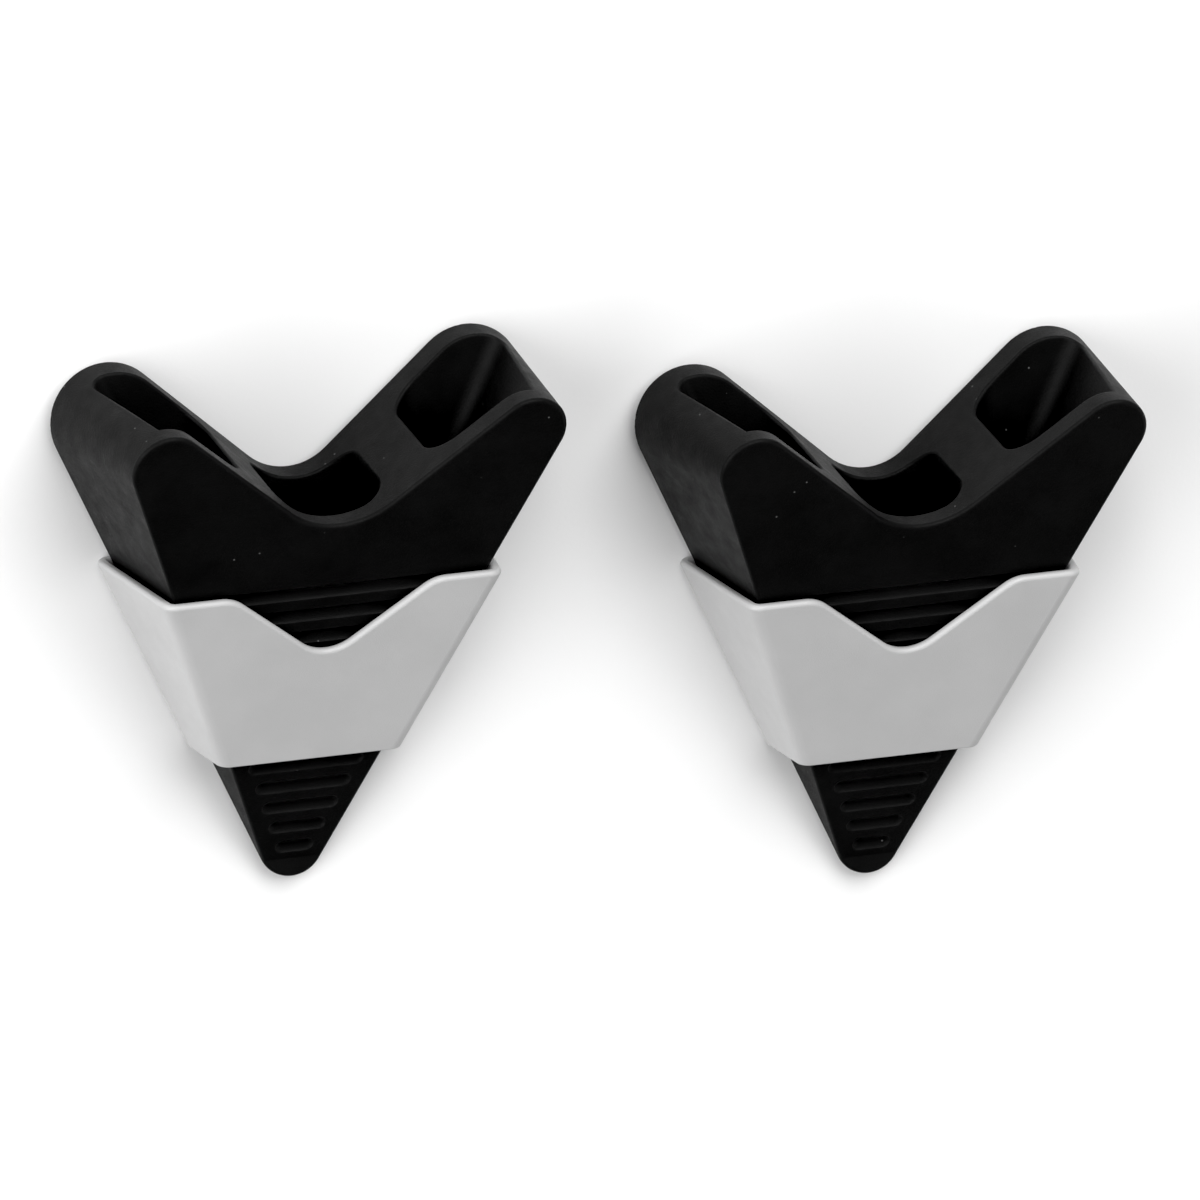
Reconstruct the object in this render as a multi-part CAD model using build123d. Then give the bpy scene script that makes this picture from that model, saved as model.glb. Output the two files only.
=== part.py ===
from build123d import *
import math
import os

# A pair of compact skate blade guards, lying side by side on their flat backs.
# Each guard is a moulded rubber block shaped like a V, with a hard plastic
# sleeve pushed up its taper. X runs across a guard, Y runs from its tip to its
# two arms, and Z is its thickness. All sizes are in millimetres.

# Rubber body: back outline. The side lines would meet at the local origin.
SIDE_SLOPE = 0.467
TOP_VERTEX_Y = 100.0
TOP_SLOPE = 0.881
ARM_END_R = 12.85
VALLEY_R = 13.35
TIP_R = 7.7

# Rubber body: thickness. The outline draws in toward the sloping front face.
DRAFT_DEG = 6.24
FRONT_SLOPE = 0.395
FRONT_OFFSET = -4.28
NOSE_THICKNESS = 1.6
BLANK_DEPTH = 52.0
FRONT_EDGE_R = 0.8
BACK_EDGE_R = 0.7

# Pockets that open in the saddle top: one in the middle, one in each arm.
RIM_BACK = 7.0
RIM_FRONT = 6.2
POCKET_CORNER_R = 5.6
POCKET_FLOOR_R = 2.0
POCKET_MOUTH_R = 0.6
MID_HALF_WIDTH = 12.5
MID_FLOOR_Y = 84.0
ARM_INNER_X = 21.9
ARM_OUTER_INSET = 10.8
ARM_OUTER_CORNER_R = 3.5
ARM_FLOOR_Y = 101.0

# Grip grooves across the front face: round scoops, a little further apart
# toward the arms.
GROOVE_COUNT = 13
GROOVE_FIRST_Y = 18.2
GROOVE_PITCH = 5.25
GROOVE_PITCH_GROWTH = 0.04
GROOVE_WIDTH = 3.4
GROOVE_DEPTH = 0.7
GROOVE_END_INSET = 3.7

# Hard sleeve: a tapered ring that follows the body with a small gap. Its rim and
# its foot are parallel planes that lean back a little.
SLEEVE_GAP = 0.8
SLEEVE_WALL = 2.2
SLEEVE_RIM_Y = 87.3
SLEEVE_HEIGHT = 44.5
SLEEVE_LEAN = 0.067
SLEEVE_CORNER_R = 3.2
SLEEVE_RIM_R = 0.9
SLEEVE_FOOT_R = 0.5
NOTCH_DEPTH = 18.3
NOTCH_SLOPE = 0.79
NOTCH_BOTTOM_R = 9.0
NOTCH_SHOULDER_R = 8.0
NOTCH_START_Z = 8.0

# The pair: pitch across, and the step along Y between the two guards.
PAIR_PITCH = 135.5
PAIR_STEP = -14.8

SIDE = math.atan(SIDE_SLOPE)
DRAFT = math.radians(DRAFT_DEG)
STANDOFF = SLEEVE_GAP + SLEEVE_WALL
FAR = 200.0

# Frame of the sleeve's rim: the rim lies at y = 0 in it.
RIM_PLANE = Plane((0, SLEEVE_RIM_Y, 0), x_dir=(1, 0, 0), z_dir=(0, -SLEEVE_LEAN, 1))


def front_depth(y):
    """Thickness of the body at height y, on the sloping front face."""
    return FRONT_OFFSET + FRONT_SLOPE * y


def side_line(y, inset):
    """X of a line parallel to the back outline's side, moved inward by inset."""
    return SIDE_SLOPE * y - inset / math.cos(SIDE)


def back_outline():
    """Outline of the flat back: straight sides, two arms and a saddle top."""
    arm_y = TOP_VERTEX_Y / (1 - TOP_SLOPE * SIDE_SLOPE)
    arm_x = SIDE_SLOPE * arm_y
    points = [(0, 0), (arm_x, arm_y), (0, TOP_VERTEX_Y), (-arm_x, arm_y)]
    face = make_face(Polyline(*points, close=True).edges())
    face = fillet(face.vertices().sort_by(Axis.Y)[0], TIP_R)
    face = fillet(face.vertices().sort_by(Axis.Y)[-2:], ARM_END_R)
    valley = [v for v in face.vertices() if abs(v.X) < 0.01 and v.Y > TIP_R * 4]
    return fillet(valley, VALLEY_R)


def below_front(offset, nose):
    """Everything behind the sloping front face moved out by offset."""
    lift = offset / math.cos(math.atan(FRONT_SLOPE))
    points = [(-FAR, -FAR), (FAR, -FAR), (FAR, front_depth(FAR) + lift)]
    if nose:
        crease_y = (nose - FRONT_OFFSET) / FRONT_SLOPE
        points += [(crease_y, nose), (-FAR, nose)]
    else:
        points += [(-FAR, front_depth(-FAR) + lift)]
    face = make_face(Polyline(*points, close=True).edges())
    return extrude(Plane.YZ * face, amount=FAR, both=True)


def touching(edges, skin):
    """Edges whose middle lies on one of the given faces."""
    return [e for e in edges if min(f.distance_to(e @ 0.5) for f in skin) < 0.001]


def outer_edges(faces):
    """Edges around a patch of faces, without those between two of them."""
    outline = []
    for face in faces:
        shared = [e for other in faces if other is not face for e in other.edges()]
        outline += face.edges() - ShapeList(shared)
    return outline


def body_blank():
    """Drafted V block with its front and back edges rounded."""
    block = extrude(back_outline(), amount=BLANK_DEPTH, taper=DRAFT_DEG)
    block = block & below_front(0, NOSE_THICKNESS)
    block = fillet(block.faces().sort_by(Axis.Z)[0].edges(), BACK_EDGE_R)
    front = block.faces().filter_by(lambda f: f.normal_at().Z > 0.9)
    return fillet(outer_edges(front), FRONT_EDGE_R)


def pocket_blank(floor_y):
    """Space between the back and front walls, from a floor up past the top."""
    points = [(floor_y, RIM_BACK), (FAR, RIM_BACK)]
    points += [(y, front_depth(y) - RIM_FRONT) for y in (FAR, floor_y)]
    face = make_face(Polyline(*points, close=True).edges())
    return extrude(Plane.YZ * face, amount=FAR, both=True)


def upright_edges(solid):
    """Edges that run up along Y rather than across."""
    return solid.edges().filter_by(lambda e: abs((e % 0.5).Y) > 0.7)


def rounded_pocket(pocket, right_r):
    """Round a pocket's two right corners, its two left ones, then its floor."""
    pocket = fillet(upright_edges(pocket).sort_by(Axis.X)[-2:], right_r)
    pocket = fillet(upright_edges(pocket).sort_by(Axis.X)[:2], POCKET_CORNER_R)
    return fillet(pocket.faces().sort_by(Axis.Y)[0].edges(), POCKET_FLOOR_R)


def middle_pocket():
    """Pocket in the middle of the saddle, with upright side walls."""
    sides = Box(2 * MID_HALF_WIDTH, FAR * 3, FAR * 3)
    return rounded_pocket(pocket_blank(MID_FLOOR_Y) & sides, POCKET_CORNER_R)


def arm_pocket():
    """Pocket in the right arm. Its outer wall leans with the body's side."""
    top_y = TOP_VERTEX_Y * 1.8
    low_y = -TOP_VERTEX_Y
    points = [(ARM_INNER_X - FAR, low_y), (side_line(low_y, ARM_OUTER_INSET), low_y)]
    points += [(side_line(top_y, ARM_OUTER_INSET), top_y), (ARM_INNER_X - FAR, top_y)]
    face = make_face(Polyline(*points, close=True).edges())
    leaning = extrude(face, amount=BLANK_DEPTH, taper=DRAFT_DEG)
    outward = Pos(ARM_INNER_X + FAR / 2, 0, 0) * Box(FAR, FAR * 3, FAR * 3)
    return rounded_pocket(pocket_blank(ARM_FLOOR_Y) & leaning & outward, ARM_OUTER_CORNER_R)


def groove_cutter(y):
    """Cutter that scoops one groove, with round ends, out of the front face."""
    width = GROOVE_WIDTH / 2
    face_half = side_line(y, math.tan(DRAFT) * front_depth(y))
    half = face_half - GROOVE_END_INSET - width
    with BuildLine() as right:
        TangentArc((0, -GROOVE_DEPTH), (width, 0), tangent=(1, 0))
        Polyline((width, 0), (width, 1), (0, 1), (0, -GROOVE_DEPTH))
    flank = make_face(right.line)
    profile = flank + mirror(flank, Plane.YZ)
    across = Plane((0, y, front_depth(y)), x_dir=(0, 1, FRONT_SLOPE), z_dir=(1, 0, 0))
    bar = extrude(across * profile, amount=half, both=True)
    end = revolve(Rot(90, 0, 0) * flank, Axis.Z)
    face = Plane((0, y, front_depth(y)), x_dir=(1, 0, 0), z_dir=(0, -FRONT_SLOPE, 1))
    return bar + face * (Pos(half, 0, 0) * end) + face * (Pos(-half, 0, 0) * end)


def guard_body():
    """Rubber body: block, three pockets and the grip grooves."""
    block = body_blank()
    skin = block.faces().filter_by(lambda f: f.center().Y > TOP_VERTEX_Y)
    right = arm_pocket()
    body = block - middle_pocket() - right - mirror(right, Plane.YZ)
    body = fillet(touching(body.edges() - block.edges(), skin), POCKET_MOUTH_R)
    y = GROOVE_FIRST_Y
    for i in range(GROOVE_COUNT):
        body = body - groove_cutter(y)
        y += GROOVE_PITCH + i * GROOVE_PITCH_GROWTH
    return body


def sleeve_plug(offset, corner_r, extra):
    """Tapered block moved out from the body by offset, extra longer at each end."""
    inset = -offset / math.cos(DRAFT) - offset * math.tan(DRAFT)
    top_y = SLEEVE_RIM_Y + BLANK_DEPTH
    points = [(0, inset / math.sin(SIDE)), (side_line(top_y, inset), top_y)]
    points += [(-side_line(top_y, inset), top_y)]
    face = make_face(Polyline(*points, close=True).edges())
    wedge = Pos(0, 0, -offset) * extrude(face, amount=BLANK_DEPTH, taper=DRAFT_DEG)
    slab = Pos(0, -SLEEVE_HEIGHT / 2, 0) * Box(FAR, SLEEVE_HEIGHT + 2 * extra, FAR)
    plug = wedge & below_front(offset, None) & RIM_PLANE * slab
    return fillet(upright_edges(plug), corner_r)


def notch_cutter():
    """Space above the sleeve's front rim: a V with a round bottom."""
    half = NOTCH_DEPTH / NOTCH_SLOPE
    points = [(-FAR, 0), (-half, 0), (0, -NOTCH_DEPTH), (half, 0)]
    points += [(FAR, 0), (FAR, FAR), (-FAR, FAR)]
    face = make_face(Polyline(*points, close=True).edges())
    face = fillet(face.vertices().sort_by(Axis.Y)[0], NOTCH_BOTTOM_R)
    shoulders = [v for v in face.vertices() if abs(abs(v.X) - half) < 0.01]
    face = fillet(shoulders, NOTCH_SHOULDER_R)
    return RIM_PLANE * (Pos(0, 0, NOTCH_START_Z) * extrude(face, amount=FAR))


def slide_sleeve():
    """Hard tapered ring with a notched front rim and rounded edges."""
    outer = sleeve_plug(STANDOFF, SLEEVE_CORNER_R, 0)
    inner = sleeve_plug(SLEEVE_GAP, SLEEVE_CORNER_R - SLEEVE_WALL, STANDOFF)
    ring = outer - inner - notch_cutter()
    foot = ring.faces().sort_by(Axis.Y)[0]
    ring = fillet(foot.edges(), SLEEVE_FOOT_R)
    rim = ring.faces().filter_by(lambda f: f.normal_at().Y > 0.6)
    return fillet(outer_edges(rim), SLEEVE_RIM_R)


def main():
    """Model one guard, then write both guards' pieces in their places."""
    pieces = {"guard_body": guard_body(), "slide_sleeve": slide_sleeve()}
    middle_y = pieces["guard_body"].bounding_box().center().Y
    os.makedirs("parts", exist_ok=True)
    for side, step in (("left", -0.5), ("right", 0.5)):
        place = Pos(step * PAIR_PITCH, step * PAIR_STEP - middle_y, STANDOFF)
        for name, piece in pieces.items():
            export_step(place * piece, f"parts/{side}_{name}.step")


main()
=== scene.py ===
import bpy
from mathutils import Matrix, Vector


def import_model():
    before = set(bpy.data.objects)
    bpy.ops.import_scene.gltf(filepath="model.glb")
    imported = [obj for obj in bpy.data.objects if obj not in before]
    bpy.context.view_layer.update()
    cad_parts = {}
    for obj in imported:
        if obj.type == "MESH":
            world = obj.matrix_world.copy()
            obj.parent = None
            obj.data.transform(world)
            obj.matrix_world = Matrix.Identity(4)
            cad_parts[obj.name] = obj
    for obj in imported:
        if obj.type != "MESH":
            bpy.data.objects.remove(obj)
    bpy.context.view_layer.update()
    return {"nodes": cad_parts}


# A pair of rubber skate blade guards with hard tapered sleeves, on a pale table.
# Metres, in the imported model's own frame.

# Camera: a long lens, high over the arms, with the guards' length up the frame.
CAMERA_RIGHT = Vector((0.9382, -0.0058, 0.3460))
CAMERA_BACK = Vector((-0.3297, 0.2885, 0.8989))
CAMERA_TARGET = Vector((0.00565, 0.00112, 0.00171))
CAMERA_DISTANCE = 5.0
CAMERA_LENS = 681.4

# Soft boxes, all aimed at the origin: name, direction from there, distance, size, power.
LIGHTS = (
    ("light_left", (-0.86, 0.05, 0.50), 2.6, 2.4, 82.0),
    ("light_top", (0.10, 0.68, 0.74), 2.0, 1.9, 52.0),
    ("light_right", (0.80, -0.35, 0.48), 2.6, 2.2, 18.0),
)
WORLD_COLOUR = (1, 1, 1, 1)
WORLD_STRENGTH = 0.05
BLACK_LEVEL = 0.006

# Table top: matte white paper. Scales everywhere are in cells per metre, heights in metres.
FLOOR_HALF = 3.0
FLOOR_COLOUR = (0.82, 0.82, 0.82, 1.0)
FLOOR_ROUGHNESS = 0.9
FLOOR_SPECULAR = 0.1
TOOTH_SCALE = 900
TOOTH_STRENGTH = 0.1
TOOTH_HEIGHT = 0.0002

# Rubber: near black, matte, with a fine moulded grain, dust, and edges lightened in patches, partly as wear
# and partly as a painted highlight.
RUBBER = {
    "name": "guard_rubber",
    "dark": (0.0050, 0.0050, 0.0050, 1.0),
    "pale": (0.0062, 0.0062, 0.0062, 1.0),
    "cloud_scale": 70,
    # Edge colour: partly rubbed wear, partly a painted highlight along the rims.
    "wear_and_highlight": (0.018, 0.018, 0.018, 1.0),
    "edge_mark_radius": 0.0012,
    "edge_mark_scale": 400,
    "specular": 0.076,
    "roughness": (0.42, 0.54),
    "roughness_scale": 240,
    "grain_scale": 2800,
    "grain_strength": 0.6,
    "grain_height": 0.00014,
    "swell_scale": 140,
    "swell_strength": 0.12,
    "swell_height": 0.0003,
}
DUST = (0.09, 0.09, 0.09, 1.0)
DUST_SCALE = 200
DUST_SIZE = 0.05
DUST_CORE = 0.6

# Sleeve: pale grey satin plastic, with a finer grain and edges faintly lightened in patches, partly as wear
# and partly as a painted highlight.
PLASTIC = {
    "name": "sleeve_plastic",
    "dark": (0.430, 0.430, 0.431, 1.0),
    "pale": (0.455, 0.455, 0.456, 1.0),
    "cloud_scale": 55,
    # Edge colour: partly rubbed wear, partly a painted highlight along the rims.
    "wear_and_highlight": (0.55, 0.55, 0.55, 1.0),
    "edge_mark_radius": 0.0008,
    "edge_mark_scale": 500,
    "specular": 0.4,
    "roughness": (0.36, 0.46),
    "roughness_scale": 260,
    "grain_scale": 3600,
    "grain_strength": 0.5,
    "grain_height": 0.00008,
    "swell_scale": 110,
    "swell_strength": 0.1,
    "swell_height": 0.0002,
}

# The bands of each noise that are spread over its whole range, and its octaves of detail.
CLOUD_BAND = (0.35, 0.65)
CLOUD_DETAIL = 6.0
EDGE_MARK_BAND = (0.35, 0.6)
EDGE_MARK_DETAIL = 4.0
ROUGHNESS_BAND = (0.3, 0.7)
ROUGHNESS_DETAIL = 5.0
RELIEF_DETAIL = 2.0
# How far the grain makes the roughness rise and fall.
GRAIN_ROUGHNESS = 0.05
# Cosine between the true and the softened normal, where an edge counts as sharp or as flat.
EDGE_SHARP = 0.80
EDGE_FLAT = 0.99
EDGE_SAMPLES = 6


class Nodes:
    """A material's node tree, with short calls to add and join nodes."""

    def __init__(self, name):
        self.material = bpy.data.materials.new(name)
        self.material.use_nodes = True
        self.tree = self.material.node_tree
        self.shader = self.tree.nodes["Principled BSDF"]

    def add(self, kind, inputs=None, **settings):
        """A new node, with its settings, and its inputs joined to outputs or set to values."""
        node = self.tree.nodes.new(kind)
        for key, value in settings.items():
            setattr(node, key, value)
        for key, value in (inputs or {}).items():
            self.join(value, node.inputs[key])
        return node

    def join(self, value, socket):
        """Link an output to a socket, or set the socket to a plain value."""
        if isinstance(value, bpy.types.NodeSocket):
            self.tree.links.new(value, socket)
        else:
            socket.default_value = value

    def fill_shader(self, **values):
        """Fill the shader's sockets, with underscores for spaces in their names."""
        for key, value in values.items():
            self.join(value, self.shader.inputs[key.replace("_", " ")])

    def place(self):
        """Object coordinates, in metres."""
        return self.add("ShaderNodeTexCoord").outputs["Object"]

    def noise(self, scale, detail):
        """Cloudy values from 0 to 1."""
        inputs = {"Vector": self.place(), "Scale": scale, "Detail": detail}
        return self.add("ShaderNodeTexNoise", inputs).outputs["Fac"]

    def ranged(self, value, low, high, to_low=0.0, to_high=1.0):
        """Value spread from low..high to to_low..to_high, and cut off there."""
        inputs = {"Value": value, "From Min": low, "From Max": high, "To Min": to_low, "To Max": to_high}
        return self.add("ShaderNodeMapRange", inputs).outputs["Result"]

    def maths(self, operation, first, second):
        return self.add("ShaderNodeMath", {0: first, 1: second}, operation=operation).outputs["Value"]

    def specks(self, scale, size):
        """1 in small dots, at most one to a cell, and 0 between them."""
        inputs = {"Vector": self.place(), "Scale": scale}
        cells = self.add("ShaderNodeTexVoronoi", inputs)
        return self.ranged(cells.outputs["Distance"], size, DUST_CORE * size)

    def mix(self, factor, first, second):
        """Colour from first, at factor 0, to second, at factor 1."""
        # The node's sockets for other data types share these names, so colours go by number.
        inputs = {0: factor, 6: first, 7: second}
        return self.add("ShaderNodeMix", inputs, data_type="RGBA").outputs[2]

    def bump(self, height, strength, distance, under=None):
        """A normal from a height, laid over another normal if one is given."""
        node = self.add("ShaderNodeBump", {"Height": height, "Strength": strength, "Distance": distance})
        if under is not None:
            self.join(under, node.inputs["Normal"])
        return node.outputs["Normal"]

    def edges(self, radius):
        """1 along edges tighter than radius, 0 on flat faces."""
        soft = self.add("ShaderNodeBevel", {"Radius": radius}, samples=EDGE_SAMPLES).outputs["Normal"]
        true = self.add("ShaderNodeNewGeometry").outputs["Normal"]
        same = self.add("ShaderNodeVectorMath", {0: soft, 1: true}, operation="DOT_PRODUCT").outputs["Value"]
        return self.ranged(same, EDGE_FLAT, EDGE_SHARP)


def moulded(look, dusty=False):
    """A moulded finish: mottled colour, edges lightened in patches as wear and painted highlight, uneven
    gloss, grain over a slow swell.
    """
    nodes = Nodes(look["name"])
    cloud = nodes.ranged(nodes.noise(look["cloud_scale"], CLOUD_DETAIL), *CLOUD_BAND)
    colour = nodes.mix(cloud, look["dark"], look["pale"])
    # Edges lightened in patches: partly wear, partly a painted highlight along the rims.
    patches = nodes.ranged(nodes.noise(look["edge_mark_scale"], EDGE_MARK_DETAIL), *EDGE_MARK_BAND)
    wear_and_highlight_mask = nodes.maths("MULTIPLY", nodes.edges(look["edge_mark_radius"]), patches)
    colour = nodes.mix(wear_and_highlight_mask, colour, look["wear_and_highlight"])
    if dusty:
        colour = nodes.mix(nodes.specks(DUST_SCALE, DUST_SIZE), colour, DUST)
    grain = nodes.noise(look["grain_scale"], RELIEF_DETAIL)
    grain_gloss = nodes.ranged(grain, *ROUGHNESS_BAND, -GRAIN_ROUGHNESS, GRAIN_ROUGHNESS)
    gloss_noise = nodes.noise(look["roughness_scale"], ROUGHNESS_DETAIL)
    gloss = nodes.ranged(gloss_noise, *ROUGHNESS_BAND, *look["roughness"])
    swell_noise = nodes.noise(look["swell_scale"], RELIEF_DETAIL)
    swell = nodes.bump(swell_noise, look["swell_strength"], look["swell_height"])
    nodes.fill_shader(
        Base_Color=colour,
        Roughness=nodes.maths("ADD", gloss, grain_gloss),
        Specular_IOR_Level=look["specular"],
        Normal=nodes.bump(grain, look["grain_strength"], look["grain_height"], swell),
    )
    return nodes.material


def paper():
    """Matte white table top with a barely visible tooth."""
    nodes = Nodes("floor")
    nodes.fill_shader(
        Base_Color=FLOOR_COLOUR,
        Roughness=FLOOR_ROUGHNESS,
        Specular_IOR_Level=FLOOR_SPECULAR,
        Normal=nodes.bump(nodes.noise(TOOTH_SCALE, RELIEF_DETAIL), TOOTH_STRENGTH, TOOTH_HEIGHT),
    )
    return nodes.material


def add_floor():
    corners = [(x * FLOOR_HALF, y * FLOOR_HALF, 0) for x, y in ((-1, -1), (1, -1), (1, 1), (-1, 1))]
    mesh = bpy.data.meshes.new("floor")
    mesh.from_pydata(corners, [], [(0, 1, 2, 3)])
    mesh.materials.append(paper())
    floor = bpy.data.objects.new("floor", mesh)
    bpy.context.scene.collection.objects.link(floor)


def add_camera():
    back = CAMERA_BACK.normalized()
    right = (CAMERA_RIGHT - back * CAMERA_RIGHT.dot(back)).normalized()
    turn = Matrix((right, back.cross(right), back)).transposed().to_4x4()
    data = bpy.data.cameras.new("camera")
    data.lens = CAMERA_LENS
    data.clip_end = 4 * CAMERA_DISTANCE
    camera = bpy.data.objects.new("camera", data)
    camera.matrix_world = Matrix.Translation(CAMERA_TARGET + back * CAMERA_DISTANCE) @ turn
    bpy.context.scene.collection.objects.link(camera)
    bpy.context.scene.camera = camera


def add_lights():
    for name, direction, distance, size, power in LIGHTS:
        toward = Vector(direction).normalized()
        data = bpy.data.lights.new(name, "AREA")
        data.size = size
        data.energy = power
        lamp = bpy.data.objects.new(name, data)
        turn = toward.to_track_quat("Z", "Y").to_matrix().to_4x4()
        lamp.matrix_world = Matrix.Translation(toward * distance) @ turn
        bpy.context.scene.collection.objects.link(lamp)
    world = bpy.data.worlds.new("studio")
    world.use_nodes = True
    background = world.node_tree.nodes["Background"]
    background.inputs["Color"].default_value = WORLD_COLOUR
    background.inputs["Strength"].default_value = WORLD_STRENGTH
    bpy.context.scene.world = world


def set_film():
    """Plain view transform with a slightly raised black point."""
    view = bpy.context.scene.view_settings
    view.view_transform = "Standard"
    view.use_curve_mapping = True
    view.curve_mapping.black_level = (BLACK_LEVEL, BLACK_LEVEL, BLACK_LEVEL)
    view.curve_mapping.update()


def main():
    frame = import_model()
    looks = {"body": moulded(RUBBER, dusty=True), "sleeve": moulded(PLASTIC)}
    for name, node in frame["nodes"].items():
        node.data.materials.clear()
        node.data.materials.append(looks[name.split("_")[-1]])
    add_floor()
    add_camera()
    add_lights()
    set_film()


main()
